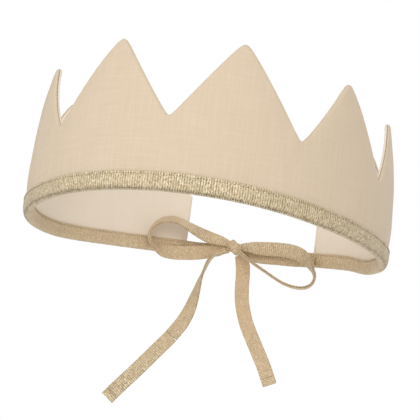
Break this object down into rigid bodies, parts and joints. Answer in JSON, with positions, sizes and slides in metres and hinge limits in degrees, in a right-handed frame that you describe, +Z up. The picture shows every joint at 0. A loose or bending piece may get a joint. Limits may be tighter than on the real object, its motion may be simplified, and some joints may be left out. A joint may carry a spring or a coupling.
{
  "type": "fabric crown",
  "caption": "Child's padded fabric crown with rounded points, a folded ribbon hem and a ribbon tie with a bow at the open back.",
  "frame": {"origin": "middle of the head opening, level with the bottom of the hem at the front and back", "axes": "+Z up out of the wearer's head, -Y to the front of the crown, +Y to the tied back, +X to the wearer's left"},
  "size_m": [0.1716, 0.1639, 0.1498],
  "materials": {
    "linen": "natural linen-look plain weave with slubs",
    "cotton_lining": "smooth cream cotton",
    "wadding": "soft needled wadding",
    "gold_ribbon": "ribbed metallic gold ribbon with glitter",
    "seam_thread": "matt sewing thread",
    "hem_thread": "matt sewing thread"
  },
  "bodies": {
    "crown": {"outer_panel": "linen", "lining_panel": "cotton_lining", "wadding": "wadding", "seam_thread": "seam_thread", "hem_binding": "gold_ribbon", "needle_thread": "hem_thread", "bobbin_thread": "hem_thread", "left_bartack": "hem_thread", "right_bartack": "hem_thread", "left_lead": "gold_ribbon", "right_lead": "gold_ribbon", "bow_knot": "gold_ribbon", "left_tail_root": "gold_ribbon", "right_tail_root": "gold_ribbon"},
    "left_loop_ribbon": {"left_loop": "gold_ribbon"},
    "right_loop_ribbon": {"right_loop": "gold_ribbon"},
    "left_tail_top": {"left_tail_upper": "gold_ribbon"},
    "left_tail_end": {"left_tail_lower": "gold_ribbon", "left_end_stitching": "hem_thread"},
    "right_tail_ribbon": {"right_tail": "gold_ribbon", "right_end_stitching": "hem_thread"}
  },
  "joints": [
    {"name": "left_loop_lift", "type": "hinge", "parent": "crown", "child": "left_loop_ribbon", "pos_m": [-0.00163, 0.06993, 0.00555], "axis": [-0.163, 0.9866, 0], "range_deg": [-3, 35], "stiffness_Nm_per_rad": 0.01},
    {"name": "right_loop_lift", "type": "hinge", "parent": "crown", "child": "right_loop_ribbon", "pos_m": [-0.00163, 0.06993, 0.00555], "axis": [0.163, -0.9866, 0], "range_deg": [-8, 35], "stiffness_Nm_per_rad": 0.01},
    {"name": "left_tail_swing", "type": "hinge", "parent": "crown", "child": "left_tail_top", "pos_m": [-0.01408, 0.06341, -0.006], "axis": [-0.163, 0.9866, 0], "range_deg": [-30, 30]},
    {"name": "left_tail_bend", "type": "hinge", "parent": "left_tail_top", "child": "left_tail_end", "pos_m": [-0.02748, 0.06044, -0.0455], "axis": [-0.8176, -0.0998, 0.5671], "range_deg": [-45, 45]},
    {"name": "right_tail_swing", "type": "hinge", "parent": "crown", "child": "right_tail_ribbon", "pos_m": [0.00374, 0.07274, -0.00415], "axis": [0.9866, 0.163, 0], "range_deg": [-60, 40]}
  ]
}
